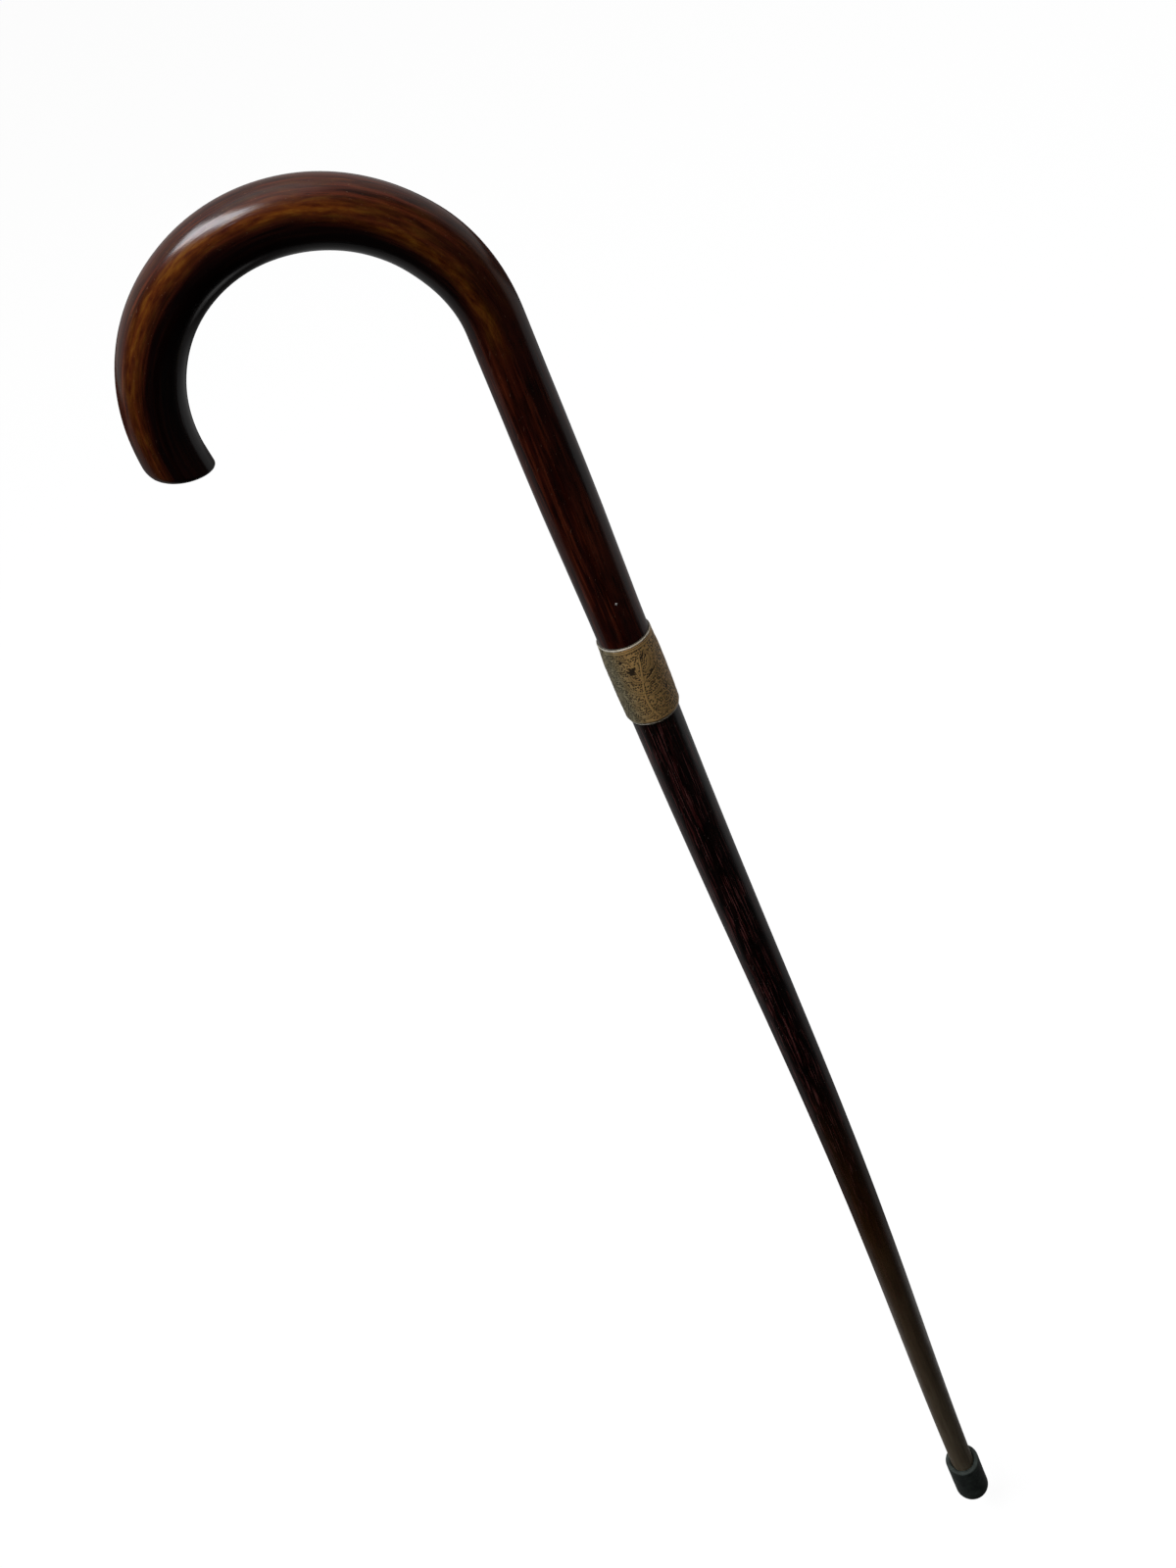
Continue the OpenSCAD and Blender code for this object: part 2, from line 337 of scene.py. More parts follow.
@dataclass(frozen=True)
class PolishedHandleWood(WoodFinish):
    """French-polished red-brown hardwood.

    To the eye it is a clear glossy skin over near-black burgundy with fine red hairlines,
    worn through to mottled amber along the upper side of the bend.
    """

    amber: tuple[tuple[float, str], ...] = ()
    amber_from: float = 118.0
    amber_full: float = 150.0
    amber_fade: Point = (330.0, 225.0)
    amber_shift: Point = (140.0, 215.0)
    amber_inner: Point = (-4.3, -1.2)
    amber_outer: Point = (3.8, 0.6)
    # Painted shade: a near-black band along the inside of the bend, which faces down, away from the soft box.
    painted_shade_inner: Point = (-2.0, -5.5)
    painted_shade_cover: float = 0.8
    shade: str = "#0a0102"
    amber_drift: Point = (-1.0, 5.5)

    def aged(self, tree: Tree, colour: Socket, roughness: Socket) -> tuple[Socket, Socket]:
        """Amber where hands have worn the bend, and painted shade: a near-black band along its inside."""
        place = add(tree, "Attribute", {"attribute_name": "turned"}, out="Vector")
        along = add(tree, "SeparateXYZ", links={"Vector": place}, out="Z")
        across = add(tree, "SeparateXYZ", links={"Vector": place}, out="X")
        shift = add(
            tree, "MapRange",
            {"From Min": self.amber_shift[0], "From Max": self.amber_shift[1],
             "To Min": self.amber_drift[0], "To Max": self.amber_drift[1]},
            {"Value": along},
        )
        across = add(tree, "Math", {"operation": "SUBTRACT"}, {0: across, 1: shift})
        bend = add(
            tree, "MapRange", {"From Min": self.amber_from, "From Max": self.amber_full}, {"Value": along})
        # Painted shade along the inside of the bend, darkest furthest in.
        inside = add(
            tree, "MapRange",
            {"From Min": self.painted_shade_inner[0], "From Max": self.painted_shade_inner[1], "To Max": self.painted_shade_cover},
            {"Value": across},
        )
        inside = add(tree, "Math", {"operation": "MULTIPLY"}, {0: inside, 1: bend})
        colour = add(tree, "Mix", {"data_type": "RGBA", 7: linear(self.shade)}, {0: inside, 6: colour})
        cover = add(
            tree, "MapRange", {"From Min": 0.32, "From Max": 0.68, "To Min": 0.2, "To Max": 1.3},
            {"Value": self.grain(tree, 5.0, 26.0, 4.0, (70.0, 11.0))},
        )
        cover = add(tree, "Math", {"operation": "MULTIPLY", "use_clamp": True}, {0: cover, 1: bend})
        for value, (low, high), least in (
            (along, self.amber_fade, 0.35),
            (across, self.amber_inner, 0.0),
            (across, self.amber_outer, 0.2),
        ):
            share = add(
                tree, "MapRange", {"From Min": low, "From Max": high, "To Min": least}, {"Value": value})
            cover = add(tree, "Math", {"operation": "MULTIPLY", "use_clamp": True}, {0: cover, 1: share})
        worn = add(
            tree, "ValToRGB", links={"Fac": self.grain(tree, 1.4, 6.0, 4.0, (22.0, 8.0))}, stops=self.amber)
        return add(tree, "Mix", {"data_type": "RGBA"}, {0: cover, 6: colour, 7: worn}), roughness


@dataclass(frozen=True)
class OiledStickWood(WoodFinish):
    """Near-black oiled hardwood.

    To the eye it is satin black with thin mauve-red streaks under the collar, then rubbed
    brown, and grey and dull with ground-in dust towards the tip.
    """

    rubbed: str = "#4e3014"
    dust: str = "#82755e"
    rubbed_from: float = 430.0
    rubbed_full: float = 270.0
    dust_from: float = 300.0
    dust_full: float = 30.0

    def aged(self, tree: Tree, colour: Socket, roughness: Socket) -> tuple[Socket, Socket]:
        """Dust and dullness that grow towards the tip."""
        place = add(tree, "Attribute", {"attribute_name": "turned"}, out="Vector")
        along = add(tree, "SeparateXYZ", links={"Vector": place}, out="Z")
        patch = add(
            tree, "MapRange", {"From Min": 0.3, "From Max": 0.7, "To Min": 0.45, "To Max": 1.1},
            {"Value": self.grain(tree, 2.0, 30.0, 4.0, (17.0, 40.0))},
        )
        for start, full, tint in (
            (self.rubbed_from, self.rubbed_full, self.rubbed), (self.dust_from, self.dust_full, self.dust),
        ):
            low = add(tree, "MapRange", {"From Min": start, "From Max": full}, {"Value": along})
            cover = add(tree, "Math", {"operation": "MULTIPLY", "use_clamp": True}, {0: low, 1: patch})
            colour = add(tree, "Mix", {"data_type": "RGBA", 7: linear(tint)}, {0: cover, 6: colour})
        dull = add(
            tree, "Math", {"operation": "MULTIPLY_ADD", 1: 0.42, "use_clamp": True}, {0: low, 2: roughness})
        return colour, dull


# Hairlines and pores are about 0.1 mm wide on the real wood and are drawn at 0.4 to 1.3 mm,
# because finer ones don't show in the picture.
HANDLE_WOOD = PolishedHandleWood(
    name="french_polished_hardwood",
    figure=((0.30, "#240502"), (0.50, "#3c1007"), (0.70, "#55200d")),
    figure_size=(9.0, 60.0),
    marks=(
        Marks(3.0, 14.0, 0.54, 0.34, 0.65, "#120201", (80.0, 3.0), detail=3.0),
        Marks(1.0, 9.0, 0.50, 0.32, 0.55, "#0a0100", (40.0, 3.0), detail=3.0),
        Marks(1.3, 30.0, 0.50, 0.70, 0.60, "#7b351d", (9.0, 1.0), detail=2.0),
        Marks(0.45, 11.0, 0.72, 0.76, 0.60, "#80604c", (31.0, 5.0), 16.0, 1.0),
    ),
    roughness=(0.42, 0.55), specular=0.0, coat=1.0, coat_roughness=0.19,
    wave_depth=0.02, grain_depth=0.034, pore_depth=0.008,
    amber=((0.30, "#521a06"), (0.50, "#7e3f0e"), (0.72, "#a2641c")),
)
STICK_WOOD = OiledStickWood(
    name="oiled_dark_hardwood",
    figure=((0.32, "#0b0403"), (0.52, "#140706"), (0.72, "#240d09")),
    figure_size=(6.0, 90.0),
    marks=(
        Marks(0.8, 10.0, 0.56, 0.38, 0.80, "#000000", (40.0, 3.0), detail=3.0),
        Marks(0.7, 15.0, 0.54, 0.66, 0.65, "#5f2826", (9.0, 1.0), detail=2.0),
        Marks(0.6, 20.0, 0.60, 0.70, 0.70, "#8a4f4c", (63.0, 1.0), detail=1.0),
        Marks(0.45, 11.0, 0.70, 0.74, 0.60, "#7f7169", (31.0, 5.0), 16.0, 1.0),
    ),
    roughness=(0.19, 0.28), specular=0.5, coat=0.0, coat_roughness=0.2,
    wave_depth=0.03, grain_depth=0.012,
)


@dataclass(frozen=True)
class TarnishedSilver:
    """Engraved nickel silver, turned, chased and then tarnished.

    To the eye it is warm gold-brown, and olive-grey on the crook's side, soft and hazy from
    old polish, with black-brown grime in the cuts and specks.
    """

    name: str = "tarnished_nickel_silver"
    gilt: str = "#ffcb7e"
    gilt_dull: str = "#f8c47c"
    olive: str = "#cbbb91"
    olive_dull: str = "#8f835f"
    grime: str = "#1d150b"
    cell: float = 3.0
    speck: float = 0.5
    turnover: Point = (-1.5, -8.0)

    def material(self) -> bpy.types.Material:
        """Makes the metal; its attribute recess is the share of grime, 0 on clean metal."""
        material, tree = blank_material(self.name)
        recess = add(tree, "Attribute", {"attribute_name": "recess"}, out="Fac")
        place = add(tree, "TexCoord", out="Object")
        patches, specks = [
            add(tree, "TexNoise", {"Scale": 1 / (size * MM), "Detail": octaves, "Roughness": 0.6},
                {"Vector": place})
            for size, octaves in ((self.cell, 4.0), (self.speck, 3.0))
        ]
        warm, cool = [
            add(tree, "ValToRGB", links={"Fac": patches}, stops=((0.35, dull), (0.65, bright)))
            for dull, bright in ((self.gilt_dull, self.gilt), (self.olive_dull, self.olive))
        ]
        across = add(tree, "SeparateXYZ", links={"Vector": place}, out="X")
        side = add(
            tree, "MapRange", {"From Min": self.turnover[0] * MM, "From Max": self.turnover[1] * MM},
            {"Value": across},
        )
        colour = add(tree, "Mix", {"data_type": "RGBA"}, {0: side, 6: warm, 7: cool})
        speckle = add(
            tree, "MapRange", {"From Min": 0.54, "From Max": 0.72, "To Max": 0.45}, {"Value": specks})
        for share in (speckle, recess):
            colour = add(tree, "Mix", {"data_type": "RGBA", 7: linear(self.grime)}, {0: share, 6: colour})
        roughness = add(tree, "MapRange", {"To Min": 0.45, "To Max": 0.7}, {"Value": recess})
        scuffs = add(tree, "Bump", {"Strength": 1.0, "Distance": 0.02 * MM}, {"Height": specks})
        shader = add(
            tree, "BsdfPrincipled",
            {"Metallic": 0.08, "IOR": 1.5, "Coat Weight": 0.5, "Coat Roughness": 0.30, "Coat IOR": 1.5},
            {"Base Color": colour, "Roughness": roughness, "Normal": scuffs, "Coat Normal": scuffs},
        )
        add(tree, "OutputMaterial", links={"Surface": shader})
        return material


@dataclass(frozen=True)
class TurnedSteel:
    """Plain turned steel: to the eye a mid grey with the fine rings that the tool leaves.

    The rings are really about 0.1 mm apart. They are drawn 1.9 mm apart, which is ring
    times a full turn in radians, so that they show.
    """

    name: str = "turned_steel"
    dull: str = "#8f9091"
    bright: str = "#b9babb"
    ring: float = 0.3
    metallic: float = 1.0

    def material(self) -> bpy.types.Material:
        """Makes the steel."""
        material, tree = blank_material(self.name)
        place = add(tree, "TexCoord", out="Object")
        rings = add(
            tree, "TexWave", {"bands_direction": "Z", "Scale": 0.05 / (self.ring * MM), "Distortion": 0.5},
            {"Vector": place}, "Fac",
        )
        smears = add(tree, "TexNoise", {"Scale": 1 / (1.5 * MM), "Detail": 3.0}, {"Vector": place})
        colour = add(tree, "ValToRGB", links={"Fac": smears}, stops=((0.3, self.dull), (0.7, self.bright)))
        roughness = add(tree, "MapRange", {"To Min": 0.22, "To Max": 0.42}, {"Value": smears})
        cut = add(tree, "Bump", {"Strength": 1.0, "Distance": 0.004 * MM}, {"Height": rings})
        shader = add(
            tree, "BsdfPrincipled", {"Metallic": self.metallic},
            {"Base Color": colour, "Roughness": roughness, "Normal": cut},
        )
        add(tree, "OutputMaterial", links={"Surface": shader})
        return material


@dataclass(frozen=True)
class WornRubber:
    """Moulded black rubber, weathered.

    To the eye it is matt and green-grey, with paler bloom in patches and a fine gritty skin.
    """

    name: str = "worn_moulded_rubber"
    dark: str = "#202521"
    faded: str = "#363d37"
    bloom: str = "#4a534e"
    dusty: str = "#5d655f"
    patch: float = 6.0
    grit: float = 0.5

    def material(self) -> bpy.types.Material:
        """Makes the rubber."""
        material, tree = blank_material(self.name)
        place = add(tree, "TexCoord", out="Object")
        patches = add(
            tree, "TexNoise", {"Scale": 1 / (self.patch * MM), "Detail": 5.0, "Roughness": 0.6},
            {"Vector": place},
        )
        grit = add(tree, "TexNoise", {"Scale": 1 / (self.grit * MM), "Detail": 3.0}, {"Vector": place})
        base = add(
            tree, "ValToRGB", links={"Fac": patches},
            stops=((0.35, self.dark), (0.55, self.faded), (0.72, self.bloom)),
        )
        settled = add(tree, "MapRange", {"From Min": 0.55, "From Max": 0.8, "To Max": 0.5}, {"Value": grit})
        colour = add(tree, "Mix", {"data_type": "RGBA", 7: linear(self.dusty)}, {0: settled, 6: base})
        rough = add(tree, "MapRange", {"To Min": 0.6, "To Max": 0.85}, {"Value": grit})
        skin = add(tree, "Bump", {"Strength": 1.0, "Distance": 0.06 * MM}, {"Height": grit})
        dents = add(
            tree, "Bump", {"Strength": 1.0, "Distance": 0.25 * MM}, {"Height": patches, "Normal": skin})
        shader = add(
            tree, "BsdfPrincipled", {"IOR": 1.5},
            {"Base Color": colour, "Roughness": rough, "Normal": dents},
        )
        add(tree, "OutputMaterial", links={"Surface": shader})
        return material


@dataclass
class Joint:
    """The steel stud and the locking pin inside the collar's joint."""

    centre_z: float = 670.3
    stud_d: float = 6.0
    stud_len: float = 85.0
    glue_gap: float = 0.05

    @property
    def hole_r(self) -> float:
        """Radius of the stud's hole in the wood."""
        return self.stud_d / 2 + self.glue_gap

    @property
    def hole_depth(self) -> float:
        """Depth of the stud's hole below the joint face."""
        return self.stud_len / 2 + self.glue_gap

    def build(self) -> None:
        """Dresses the steel pieces, which stay as the CAD has them."""
        dress_node("joint_stud", TurnedSteel().material())
        # Painted highlight: the pin's end is given a pale, chalky, barely metallic colour, so that it shows
        # as a pale dot where plain steel would show the dim room.
        pin_glint_steel = TurnedSteel("steel_pin_painted_glint", "#cfcac0", "#f4f1ea", metallic=0.25)
        dress_node("locking_pin", pin_glint_steel.material())


@dataclass
class CrookHandle:
    """The handle: turned straight, with its grain laid along it, and then bent."""

    joint: Joint
    foot_z: float = 689.0
    leg_len: float = 131.0
    bend_r: float = 58.0
    bend_angle: float = 169.0
    curl_r: float = 60.0
    curl_angle: float = 14.0
    spigot_d: float = 19.2
    foot_d: float = 20.2
    leg_d: float = 21.4
    neck_d: float = 20.6
    rise_d: float = 22.6
    crown_d: float = 23.4
    fall_d: float = 22.8
    nose_d: float = 21.8
    nose_slope: float = 14.0
    nose_round_out: float = 4.8
    nose_round_in: float = 1.0
    nose_crown: float = 0.3
    lean_len: float = 26.0
    foot_round: float = 0.4
    nose_spare: float = 1.0
    rise_at: float = 0.21
    crown_at: float = 0.47
    fall_at: float = 0.8
    flat_depth: float = 0.08
    flat_len: float = 16.0
    steps: int = 96
    ring: float = 2.0

    @property
    def bend_len(self) -> float:
        """Length of the main bend along its centreline."""
        return self.bend_r * math.radians(self.bend_angle)

    @property
    def length(self) -> float:
        """Length of the handle along its centreline, from the collar to the nose."""
        return self.leg_len + self.bend_len + self.curl_r * math.radians(self.curl_angle) + self.nose_len

    @property
    def nose_len(self) -> float:
        """Length of the straight end after the curl."""
        return self.nose_d / 2 * math.tan(math.radians(self.nose_slope)) + self.nose_spare

    @property
    def nose_round(self) -> float:
        """Mean rounding of the nose's edge."""
        return (self.nose_round_out + self.nose_round_in) / 2

    def radius(self, s: float) -> float:
        """Radius of the wood at a length s from the collar."""
        bend = self.bend_len
        stations = (
            (0.0, self.foot_d), (self.leg_len / 2, self.leg_d), (self.leg_len, self.neck_d),
            (self.leg_len + self.rise_at * bend, self.rise_d),
            (self.leg_len + self.crown_at * bend, self.crown_d),
            (self.leg_len + self.fall_at * bend, self.fall_d), (self.length, self.nose_d),
        )
        for (a, d_a), (b, d_b) in zip(stations, stations[1:]):
            if s <= b:
                return (d_a + (d_b - d_a) * ease((s - a) / (b - a))) / 2
        return self.nose_d / 2

    def outline(self) -> list[Point]:
        """The turned handle's half outline, from the stud's hole to the nose."""
        joint_s = self.joint.centre_z - self.foot_z
        hole_top = joint_s + self.joint.hole_depth
        spigot_r = self.spigot_d / 2
        foot_r = self.foot_d / 2
        arc_start = self.length - self.nose_round
        points = [
            (0.0, hole_top), (self.joint.hole_r, hole_top), (self.joint.hole_r, joint_s),
            (spigot_r, joint_s), (spigot_r, 0.0), (foot_r - self.foot_round, 0.0),
        ]
        points += [(self.radius(s), s) for s in spread(self.foot_round, arc_start, self.ring)]
        points += arc((self.nose_d / 2 - self.nose_round, arc_start), self.nose_round, 0, 90, 8)[1:]
        flat_r = points[-1][0]
        points += [(flat_r * f, self.length + self.nose_crown * (1 - f * f)) for f in (0.75, 0.5, 0.25, 0.0)]
        return points

    def cut_nose(self, place: Vector) -> Vector:
        """Where a point of the turned handle, in mm, goes when the nose is cut and rounded.

        The end is cut off square by nose_slope degrees, longer on the inside of the crook,
        and its edge is rounded more on the outside.
        """
        start = self.length - self.lean_len
        if place.z <= start:
            return place
        reach = math.hypot(place.x, place.y)
        share = place.x / reach if reach else 0.0
        edge = self.nose_round + (self.nose_round_out - self.nose_round_in) / 2 * share
        arc_start = self.length - self.nose_round
        full = self.radius(self.length)
        lean = min(1.0, (place.z - start) / (arc_start - start))
        s = start + (place.z - start) * (self.length - edge - start) / (arc_start - start)
        if place.z > arc_start:
            s = self.length - edge + (place.z - arc_start) * edge / self.nose_round
            scale = (full - edge) / (full - self.nose_round)
            if reach > full - self.nose_round:
                scale = (full - (full - reach) * edge / self.nose_round) / reach
            place = Vector((place.x * scale, place.y * scale, 0))
        return Vector((place.x, place.y, s - ease(lean) * math.tan(math.radians(self.nose_slope)) * place.x))

    def bent(self, place: Vector) -> Vector:
        """Where a point of the straight handle, in mm, goes when the handle is bent."""
        s = place.z
        if s <= self.leg_len:
            return Vector((place.x, place.y, self.foot_z + s))
        bend_centre = Vector((-self.bend_r, 0, self.foot_z + self.leg_len))
        turn = math.radians(self.bend_angle)
        if s <= self.leg_len + self.bend_len:
            centre, radius, angle = bend_centre, self.bend_r, (s - self.leg_len) / self.bend_r
        else:
            centre = bend_centre + (self.bend_r - self.curl_r) * Vector((math.cos(turn), 0, math.sin(turn)))
            radius = self.curl_r
            angle = turn + (min(s, self.length - self.nose_len) - self.leg_len - self.bend_len) / radius
        past = max(0.0, s - self.length + self.nose_len)
        out = Vector((math.cos(angle), 0, math.sin(angle)))
        along = Vector((-math.sin(angle), 0, math.cos(angle)))
        return centre + out * (radius + place.x) + along * past + Vector((0, place.y, 0))

    def build(self) -> bpy.types.Object:
        """Turns, wears and bends the handle."""
        bm = turned(self.outline(), self.steps)
        lay_grain(bm)
        hand_worked(bm, self.flat_depth, self.flat_len)
        for vert in bm.verts:
            vert.co = self.bent(self.cut_nose(vert.co / MM)) * MM
        piece = finished("crook_handle_polished", bm, HANDLE_WOOD.material())
        return stand_for(piece, Body.CANE, "handle_wood", "crook_handle")


@dataclass
class Stick:
    """The tapered stick, with a parallel end in the ferrule and a spigot in the collar."""

    joint: Joint
    end_z: float = 9.6
    foot_z: float = 35.3
    collar_z: float = 651.6
    tip_d: float = 13.0
    foot_d: float = 13.4
    top_d: float = 19.6
    spigot_d: float = 19.2
    chamfer: float = 0.8
    bow: float = 3.4
    flat_depth: float = 0.05
    flat_len: float = 24.0
    steps: int = 72
    ring: float = 3.0

    def outline(self) -> list[Point]:
        """The stick's half outline, from its end in the ferrule to the stud's hole."""
        tip_r, foot_r, top_r = self.tip_d / 2, self.foot_d / 2, self.top_d / 2
        span = self.collar_z - self.foot_z
        face_z = self.joint.centre_z
        hole_z = face_z - self.joint.hole_depth
        points = [
            (0.0, self.end_z), (tip_r - self.chamfer, self.end_z), (tip_r, self.end_z + self.chamfer),
            (tip_r, self.foot_z),
        ]
        for z in spread(self.foot_z, self.collar_z, self.ring):
            points.append((foot_r + (top_r - foot_r) * (z - self.foot_z) / span, z))
        points += [
            (self.spigot_d / 2, self.collar_z), (self.spigot_d / 2, face_z), (self.joint.hole_r, face_z),
            (self.joint.hole_r, hole_z), (0.0, hole_z),
        ]
        return points

    def bowed(self, place: Vector) -> Vector:
        """Where a point of the straight stick, in mm, goes with the stick's slight bow."""
        share = min(1.0, max(0.0, (place.z - self.foot_z) / (self.collar_z - self.foot_z)))
        return place + Vector((self.bow * math.sin(math.pi * share) ** 2, 0, 0))

    def build(self) -> bpy.types.Object:
        """Turns, wears and bows the stick."""
        bm = turned(self.outline(), self.steps)
        lay_grain(bm)
        hand_worked(bm, self.flat_depth, self.flat_len, above=self.foot_z)
        for vert in bm.verts:
            vert.co = self.bowed(vert.co / MM) * MM
        piece = finished("stick_dark", bm, STICK_WOOD.material())
        return stand_for(piece, Body.CANE, "stick_wood", "stick")


def lay_grain(bm: Shape) -> None:
    """Keeps each point's place before bending, in mm, in the attribute that the wood reads."""
    layer = bm.verts.layers.float_vector.new("turned")
    for vert in bm.verts:
        vert[layer] = vert.co / MM


def hand_worked(bm: Shape, depth: float, length: float, above: float = 0.0) -> None:
    """Takes a little off a turned piece in long shallow flats, as a spokeshave leaves it.

    Args:
        bm: the piece, straight along Z.
        depth: most that is taken off, in mm.
        length: length of a flat, in mm.
        above: height in mm that the work starts from.
    """
    for vert in bm.verts:
        if vert.co.z < above * MM:
            continue
        reach = math.hypot(vert.co.x, vert.co.y)
        if reach < MM:
            continue
        here = Vector((vert.co.x / FLAT_WIDTH, vert.co.y / FLAT_WIDTH, vert.co.z / length)) / MM
        cut = depth * MM * (0.5 + 0.5 * noise.noise(here)) * ease((vert.co.z / MM - above) / FLAT_FADE)
        vert.co.x *= 1 - cut / reach
        vert.co.y *= 1 - cut / reach


class Cut(Enum):
    """The kinds of stroke that the engraver's pattern is made of."""

    STEM = 0
    LEAF = 1
    SHADE = 2


@dataclass
class Stroke:
    """One stroke of the engraving: a curve with a width at each point."""

    points: np.ndarray
    half_widths: np.ndarray
    cut: Cut


def curve(points: Sequence[Point], count: int = 40) -> np.ndarray:
    """A Bezier curve through its first and last control points, as rows of x and y."""
    t = np.linspace(0, 1, count)[:, None]
    control = [np.array(p, float)[None, :] for p in points]
    while len(control) > 1:
        control = [a * (1 - t) + b * t for a, b in zip(control, control[1:])]
    return control[0]


def scroll(centre: Point, start: float, end: float, angle: float, turns: float,
           count: int = 70) -> np.ndarray:
    """A spiral from radius start to radius end round a centre, as rows of x and y.

    Args:
        centre: the spiral's centre, in mm.
        start: radius that it starts from.
        end: radius that it winds in to.
        angle: direction of its start from the centre, in degrees.
        turns: turns that it makes, negative for clockwise.
        count: points along it.
    """
    t = np.linspace(0, 1, count)
    r = start * (end / start) ** t
    a = np.radians(angle) + math.tau * turns * t
    return np.stack([centre[0] + r * np.cos(a), centre[1] + r * np.sin(a)], 1)


@dataclass
class Collar:
    """The engraved collar: band, rim ring and edge wire."""

    bottom_z: float = 651.6
    length: float = 37.4
    outer_r: float = 11.25
    bore_r: float = 10.35
    mouth_r: float = 9.65
    roll_r: float = 1.3
    wall: float = 0.9
    wire_d: float = 0.8
    rim_h: float = 1.1
    line_w: float = 0.35
    line_depth: float = 0.08
    line_dark: float = 0.35
    line_pitch: float = 1.1
    top_line_r: float = 10.32
    top_line_w: float = 0.2
    top_line_depth: float = 0.12
    top_draw: float = 0.5
    top_draw_from: float = 677.0
    foot_draw: float = 0.25
    foot_draw_from: float = 665.0
    dash_pitch: float = 1.02
    dash_half: Point = (0.44, 0.21)
    dash_full: float = 1.8
    dash_gaps: float = 0.18
    outline_at: float = 0.12
    outline_w: float = 0.15
    vein_w: float = 0.15
    hatch: float = 0.7
    groove_pitch: float = 0.5
    trunk_from: float = 0.45
    border_w: float = 1.5
    border_fade: float = 0.25
    # Depths in mm.
    ground_depth: float = 0.05
    dash_depth: float = 0.10
    outline_depth: float = 0.17
    inner_depth: float = 0.10
    leaf_depth: float = 0.07
    shade_depth: float = 0.2
    # Shares of grime, from 0 to 1.
    ground_dark: float = 0.06
    dash_dark: float = 0.92
    outline_dark: float = 0.97
    inner_dark: float = 0.55
    groove_dark: float = 0.5
    hatch_dark: float = 0.78
    vein_dark: float = 0.85
    shade_dark: float = 0.95
    top_line_dark: float = 0.9
    # Layout of the pattern, fineness of the mesh, and the nick.
    repeats: int = 3
    front: float = 3.0
    steps: int = 420
    ring_steps: int = 128
    grid: float = 0.17
    nick_angle: float = -64.8
    nick_width: float = 1.3
    nick_height: float = 2.2
    nick_depth: float = 0.5

    @property
    def band_z(self) -> float:
        """Height of the band's lower edge."""
        return self.bottom_z + self.wire_d

    @property
    def band_top(self) -> float:
        """Height of the band's upper edge, under the rim ring."""
        return self.bottom_z + self.length - self.rim_h

    def outline(self) -> list[Point]:
        """The band's closed outline, fine on its engraved face."""
        inner = self.roll_r - self.wall
        roll_z = self.band_z + self.roll_r
        points = [(self.mouth_r, self.band_z)]
        points += arc((self.outer_r - self.roll_r, roll_z), self.roll_r, -90, 0, 9)[:-1]
        points += [(self.outer_r, z) for z in spread(roll_z, self.band_top, self.grid)]
        points.append((self.bore_r, self.band_top))
        points += arc((self.bore_r - inner, self.band_z + self.wall + inner), inner, 0, -90, 4)
        points.append((self.mouth_r, self.band_z + self.wall))
        return points

    def rim_outline(self) -> list[Point]:
        """The rim ring's closed outline, drawn in with the band's edge, with a line in its top."""
        rim_r, top, outer_r = self.rim_h / 2, self.band_top + self.rim_h, self.outer_r - self.top_draw
        line, half = self.top_line_r, self.top_line_w / 2
        points = [(self.mouth_r, self.band_top), (outer_r - rim_r, self.band_top)]
        rounded = arc((outer_r - rim_r, self.band_top + rim_r), rim_r, -90, 90, 16)[1:-1]
        points += [(r, z) for r, z in rounded if z < top - 0.02 and r > line + half]
        points += [(line + half, top), (line + half / 2, top - self.top_line_depth)]
        points += [(line - half / 2, top - self.top_line_depth), (line - half, top), (self.mouth_r, top)]
        return points

    def motif(self) -> list[Stroke]:
        """One repeat of a traditional leaf scroll: a forked trunk with leaves, fronds and shells."""
        stems = [
            (curve([(1.0, -15.6), (-2.4, -9.5), (-1.6, -3.5), (0.0, 3.0)]), 0.62),
            (curve([(0.0, 2.0), (0.4, 6.0), (1.4, 9.5), (2.2, 14.0)]), 0.5),
            (curve([(-0.2, 2.0), (-0.6, 6.0), (-1.8, 10.5), (-3.4, 15.4)]), 0.32),
            (scroll((6.4, -9.6), 3.6, 0.6, 150, -1.7), 0.30),
            (scroll((-7.2, -9.6), 3.8, 0.6, 30, 1.7), 0.30),
            (scroll((-7.4, 10.4), 2.4, 0.5, 350, 1.5), 0.26),
            (scroll((9.4, 1.2), 2.2, 0.5, 250, 1.4), 0.26),
        ]
        leaves = [
            ([(2.2, 6.2), (6.2, 7.0), (7.4, 11.5), (4.6, 14.6)], 1.6),
            ([(0.9, 2.2), (3.6, 2.2), (6.4, 3.6), (8.6, 6.6)], 0.9),
            ([(-0.6, 2.8), (-3.4, 2.2), (-4.6, 5.0), (-3.6, 8.2)], 1.0),
            ([(-0.4, -3.0), (-3.6, -3.2), (-6.8, -1.0), (-8.6, 3.2)], 1.15),
            ([(-5.4, -2.0), (-6.6, 1.6), (-8.6, 4.6), (-10.2, 8.6)], 0.8),
            ([(0.8, -4.4), (3.6, -5.0), (6.6, -3.6), (7.6, -0.8)], 1.0),
            ([(1.0, -10.4), (2.4, -14.2), (6.0, -15.2), (9.6, -14.6)], 0.75),
            ([(0.2, -11.0), (-1.4, -14.4), (-5.0, -15.2), (-9.2, -14.6)], 0.75),
            ([(10.6, -8.2), (11.6, -5.2), (11.2, -2.8), (9.6, -1.4)], 0.8),
            ([(-10.4, -8.0), (-11.4, -5.2), (-11.2, -2.6), (-10.0, -0.4)], 0.8),
            ([(7.8, 9.4), (9.8, 10.0), (11.0, 12.2), (10.6, 14.8)], 0.85),
            ([(-9.0, 9.6), (-11.0, 10.6), (-11.6, 12.8), (-10.6, 15.0)], 0.75),
            ([(-3.6, 12.6), (-4.6, 14.4), (-6.6, 15.4), (-8.6, 15.0)], 0.65),
        ]
